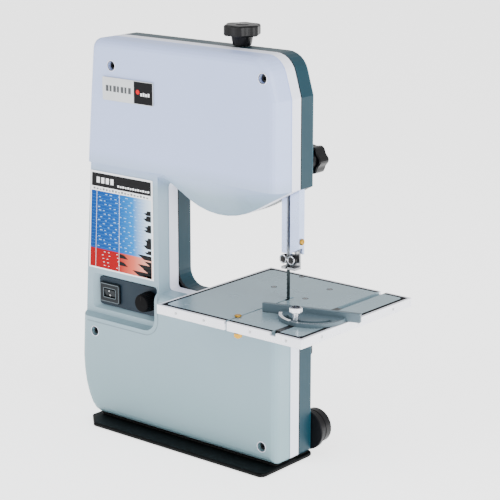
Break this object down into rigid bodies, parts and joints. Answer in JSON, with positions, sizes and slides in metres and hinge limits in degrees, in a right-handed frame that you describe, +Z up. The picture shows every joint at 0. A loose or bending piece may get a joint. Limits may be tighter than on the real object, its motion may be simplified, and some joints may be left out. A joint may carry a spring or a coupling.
{
  "type": "band saw",
  "caption": "Bench band saw with a C-shaped two-part body, tilting table, mitre gauge, blade guard post, speed dial and dust port.",
  "frame": {"origin": "centre of the base plate's underside", "axes": "+Z up, -Y is the cover side where the user stands, +X from the column towards the blade"},
  "size_m": [0.492, 0.2476, 0.601],
  "materials": {
    "base_plate": "satin black",
    "base_gasket": "matte",
    "front_cover": "semi-gloss pale blue grey",
    "rear_housing": "semi-gloss slate blue",
    "cover_screw_1": "black oxide",
    "cover_screw_2": "black oxide",
    "cover_screw_3": "black oxide",
    "cover_screw_4": "black oxide",
    "name_plate": "brushed, blank",
    "speed_chart": "printed film",
    "switch_panel": "fine texture",
    "switch_bezel": "moulded",
    "switch_rocker": "moulded",
    "speed_knob": "fluted",
    "motor_body": "zinc",
    "motor_end_cap": "moulded",
    "motor_bracket": "zinc",
    "motor_shaft": "ground",
    "motor_pulley": "turned",
    "drive_pulley": "moulded",
    "drive_belt": "matte",
    "lower_axle": "ground",
    "upper_axle": "ground",
    "lower_wheel": "cast and turned",
    "upper_wheel": "cast and turned",
    "lower_tyre": "matte",
    "upper_tyre": "matte",
    "lower_bearing": "ground",
    "upper_bearing": "ground",
    "blade": "blued",
    "tension_bracket": "zinc",
    "tension_carriage": "black",
    "tension_screw": "zinc",
    "tension_knob": "moulded",
    "guide_post": "bright nickel",
    "guard_screw": "machined",
    "guide_bracket": "zinc",
    "guide_bearing_left": "black oxide",
    "guide_bearing_right": "black oxide",
    "thrust_bearing": "ground",
    "guide_clamp_block": "black",
    "post_clamp_knob": "moulded",
    "lower_guide_block": "zinc",
    "trunnion_bracket": "black paint",
    "table_trunnion": "black paint",
    "tilt_lock_knob": "moulded",
    "table_plate": "fine ground, grey",
    "rail_front_left": "bright",
    "rail_front_right": "bright",
    "rail_rear": "bright",
    "rail_left": "bright",
    "rail_right": "bright",
    "slot_pin": "machined",
    "mitre_bar": "dark",
    "mitre_head": "satin slate",
    "mitre_fence": "satin slate",
    "mitre_scale": "white film",
    "mitre_knob": "nickel",
    "dust_port": "moulded",
    "cable_gland": "moulded"
  },
  "bodies": {
    "frame": {"base_plate": "base_plate", "base_gasket": "base_gasket", "rear_housing": "rear_housing", "front_cover": "front_cover", "cover_screw_1": "cover_screw_1", "cover_screw_2": "cover_screw_2", "cover_screw_3": "cover_screw_3", "cover_screw_4": "cover_screw_4", "name_plate": "name_plate", "speed_chart": "speed_chart", "switch_panel": "switch_panel", "switch_bezel": "switch_bezel", "motor_bracket": "motor_bracket", "motor_body": "motor_body", "motor_end_cap": "motor_end_cap", "drive_belt": "drive_belt", "lower_axle": "lower_axle", "blade": "blade", "tension_bracket": "tension_bracket", "guide_clamp_block": "guide_clamp_block", "lower_guide_block": "lower_guide_block", "trunnion_bracket": "trunnion_bracket", "dust_port": "dust_port", "cable_gland": "cable_gland"},
    "power_rocker": {"switch_rocker": "switch_rocker"},
    "speed_control": {"speed_knob": "speed_knob"},
    "motor_rotor": {"motor_shaft": "motor_shaft", "motor_pulley": "motor_pulley"},
    "lower_wheel_set": {"lower_wheel": "lower_wheel", "lower_tyre": "lower_tyre", "lower_bearing": "lower_bearing", "drive_pulley": "drive_pulley"},
    "carriage": {"tension_carriage": "tension_carriage", "upper_axle": "upper_axle"},
    "upper_wheel_set": {"upper_wheel": "upper_wheel", "upper_tyre": "upper_tyre", "upper_bearing": "upper_bearing"},
    "tension": {"tension_knob": "tension_knob", "tension_screw": "tension_screw"},
    "post": {"guide_post": "guide_post", "guard_screw": "guard_screw", "guide_bracket": "guide_bracket"},
    "guide_left": {"guide_bearing_left": "guide_bearing_left"},
    "guide_right": {"guide_bearing_right": "guide_bearing_right"},
    "thrust": {"thrust_bearing": "thrust_bearing"},
    "post_clamp": {"post_clamp_knob": "post_clamp_knob"},
    "table": {"table_plate": "table_plate", "rail_front_left": "rail_front_left", "rail_front_right": "rail_front_right", "rail_rear": "rail_rear", "rail_left": "rail_left", "rail_right": "rail_right", "slot_pin": "slot_pin", "table_trunnion": "table_trunnion"},
    "tilt_lock": {"tilt_lock_knob": "tilt_lock_knob"},
    "mitre_slider": {"mitre_bar": "mitre_bar"},
    "mitre_gauge": {"mitre_head": "mitre_head", "mitre_fence": "mitre_fence", "mitre_scale": "mitre_scale"},
    "mitre_clamp": {"mitre_knob": "mitre_knob"}
  },
  "joints": [
    {"name": "lower_wheel_spin", "type": "hinge", "parent": "frame", "child": "lower_wheel_set", "pos_m": [0.0496, 0.03, 0.11], "axis": [0, 1, 0], "continuous": true},
    {"name": "motor_spin", "type": "hinge", "parent": "frame", "child": "motor_rotor", "pos_m": [-0.121, 0.039, 0.08], "axis": [0, 1, 0], "continuous": true},
    {"name": "carriage_slide", "type": "slide", "parent": "frame", "child": "carriage", "axis": [0, 0, -1], "range_m": [0, 0.005]},
    {"name": "upper_wheel_spin", "type": "hinge", "parent": "carriage", "child": "upper_wheel_set", "pos_m": [0.0396, 0.03, 0.456], "axis": [0, 1, 0], "continuous": true},
    {"name": "tension_turn", "type": "hinge", "parent": "frame", "child": "tension", "pos_m": [0.057, 0.041, 0.59], "axis": [0, 0, 1], "range_deg": [0, 1800]},
    {"name": "guide_post_slide", "type": "slide", "parent": "frame", "child": "post", "axis": [0, 0, 1], "range_m": [-0.02, 0.026]},
    {"name": "guide_left_spin", "type": "hinge", "parent": "post", "child": "guide_left", "pos_m": [0.1407, 0.03, 0.2875], "axis": [0, 1, 0], "continuous": true},
    {"name": "guide_right_spin", "type": "hinge", "parent": "post", "child": "guide_right", "pos_m": [0.1545, 0.03, 0.2875], "axis": [0, 1, 0], "continuous": true},
    {"name": "thrust_spin", "type": "hinge", "parent": "post", "child": "thrust", "pos_m": [0.1476, 0.0372, 0.2915], "axis": [1, 0, 0], "continuous": true},
    {"name": "post_clamp_turn", "type": "hinge", "parent": "frame", "child": "post_clamp", "pos_m": [0.1535, 0.07, 0.421], "axis": [0, 1, 0], "range_deg": [-360, 0]},
    {"name": "table_tilt", "type": "hinge", "parent": "frame", "child": "table", "pos_m": [0.1476, 0.03, 0.2307], "axis": [0, 1, 0], "range_deg": [0, 45]},
    {"name": "tilt_lock_turn", "type": "hinge", "parent": "frame", "child": "tilt_lock", "pos_m": [0.1476, 0.072, 0.1857], "axis": [0, 1, 0], "range_deg": [-360, 0]},
    {"name": "mitre_slide", "type": "slide", "parent": "table", "child": "mitre_slider", "axis": [0, 1, 0], "range_m": [-0.06, 0.09]},
    {"name": "mitre_swivel", "type": "hinge", "parent": "mitre_slider", "child": "mitre_gauge", "pos_m": [0.228, -0.018, 0.231], "axis": [0, 0, 1], "range_deg": [-62, 28]},
    {"name": "mitre_clamp_turn", "type": "hinge", "parent": "mitre_slider", "child": "mitre_clamp", "pos_m": [0.228, -0.0548, 0.24], "axis": [0, 0, 1], "range_deg": [0, 360]},
    {"name": "speed_turn", "type": "hinge", "parent": "frame", "child": "speed_control", "pos_m": [-0.071, 0, 0.197], "axis": [0, 1, 0], "range_deg": [0, 270]},
    {"name": "power_switch", "type": "hinge", "parent": "frame", "child": "power_rocker", "pos_m": [-0.151, -0.006, 0.194], "axis": [1, 0, 0], "range_deg": [-12, 0]}
  ],
  "couplings": [
    {"joint": "motor_spin", "follows": "lower_wheel_spin", "ratio": 4},
    {"joint": "upper_wheel_spin", "follows": "lower_wheel_spin", "ratio": 0.90741},
    {"joint": "tension_turn", "follows": "carriage_slide", "rad_per_m": 6283.2}
  ]
}
